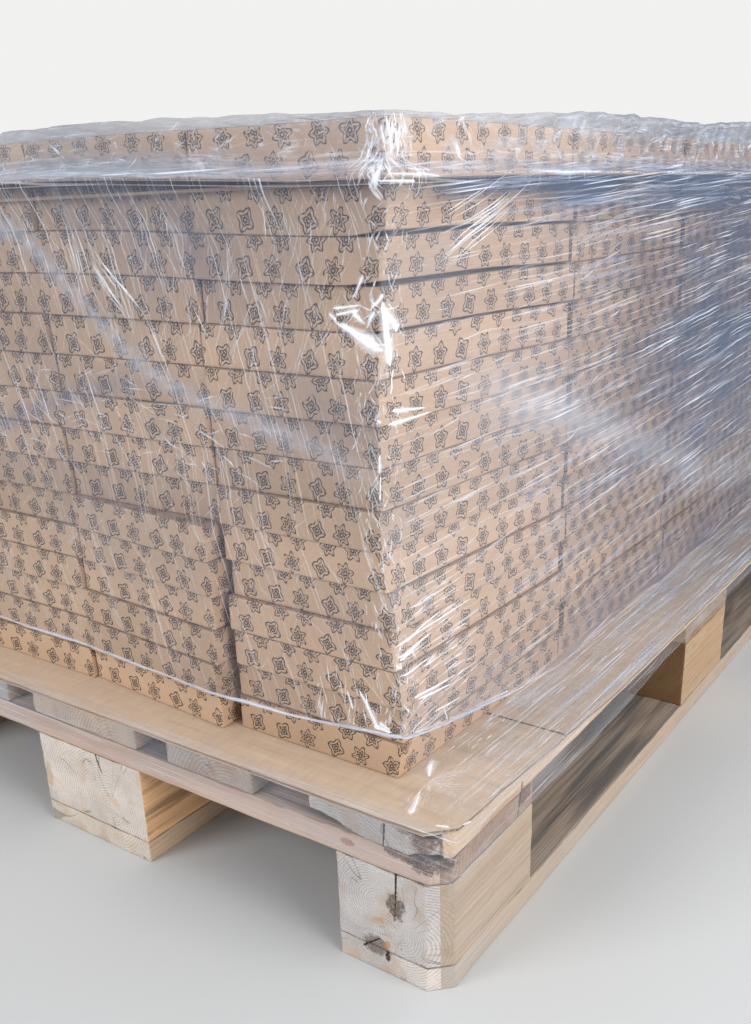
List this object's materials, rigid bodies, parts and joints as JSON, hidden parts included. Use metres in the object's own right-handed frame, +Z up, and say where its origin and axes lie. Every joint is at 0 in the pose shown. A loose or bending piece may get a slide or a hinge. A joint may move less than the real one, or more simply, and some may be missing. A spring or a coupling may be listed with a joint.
{
  "type": "shrink wrapped pallet load",
  "caption": "Wooden four-way pallet carrying columns of flat printed cartons with slip and interlayer sheets, held by clear stretch film.",
  "frame": {"origin": "on the floor at the middle of the pallet's plan", "axes": "+X along the pallet's length, +Y across its width away from the near printed face, +Z up"},
  "size_m": [1.2058, 0.8318, 0.6385],
  "materials": {
    "board_wood": "weathered sawn softwood",
    "block_wood": "sawn softwood blocks with open end grain",
    "slip_board": "plain brown corrugated board",
    "carton_board": "brown carton board with a dark line print",
    "interlayer_board": "plain brown corrugated board",
    "stretch_film": "clear stretch film"
  },
  "bodies": {
    "root": {"deck_board_1": "board_wood", "deck_board_2": "board_wood", "deck_board_3": "board_wood", "deck_board_4": "board_wood", "deck_board_5": "board_wood", "stringer_board_1": "board_wood", "stringer_board_2": "board_wood", "stringer_board_3": "board_wood", "bottom_board_1": "board_wood", "bottom_board_2": "board_wood", "bottom_board_3": "board_wood", "block_1_1": "block_wood", "block_1_2": "block_wood", "block_1_3": "block_wood", "block_2_1": "block_wood", "block_2_2": "block_wood", "block_2_3": "block_wood", "block_3_1": "block_wood", "block_3_2": "block_wood", "block_3_3": "block_wood", "slip_sheet_near": "slip_board", "slip_sheet_main": "slip_board", "carton_layer_01": "carton_board", "carton_layer_02": "carton_board", "carton_layer_03": "carton_board", "carton_layer_04": "carton_board", "carton_layer_05": "carton_board", "carton_layer_06": "carton_board", "carton_layer_07": "carton_board", "carton_layer_08": "carton_board", "carton_layer_09": "carton_board", "carton_layer_10": "carton_board", "carton_layer_11": "carton_board", "carton_layer_12": "carton_board", "carton_layer_13": "carton_board", "carton_layer_14": "carton_board", "carton_layer_top": "carton_board", "carton_core": "carton_board", "interlayer_sheet": "interlayer_board", "wrap_sleeve": "stretch_film", "wrap_skirt": "stretch_film"}
  },
  "joints": []
}
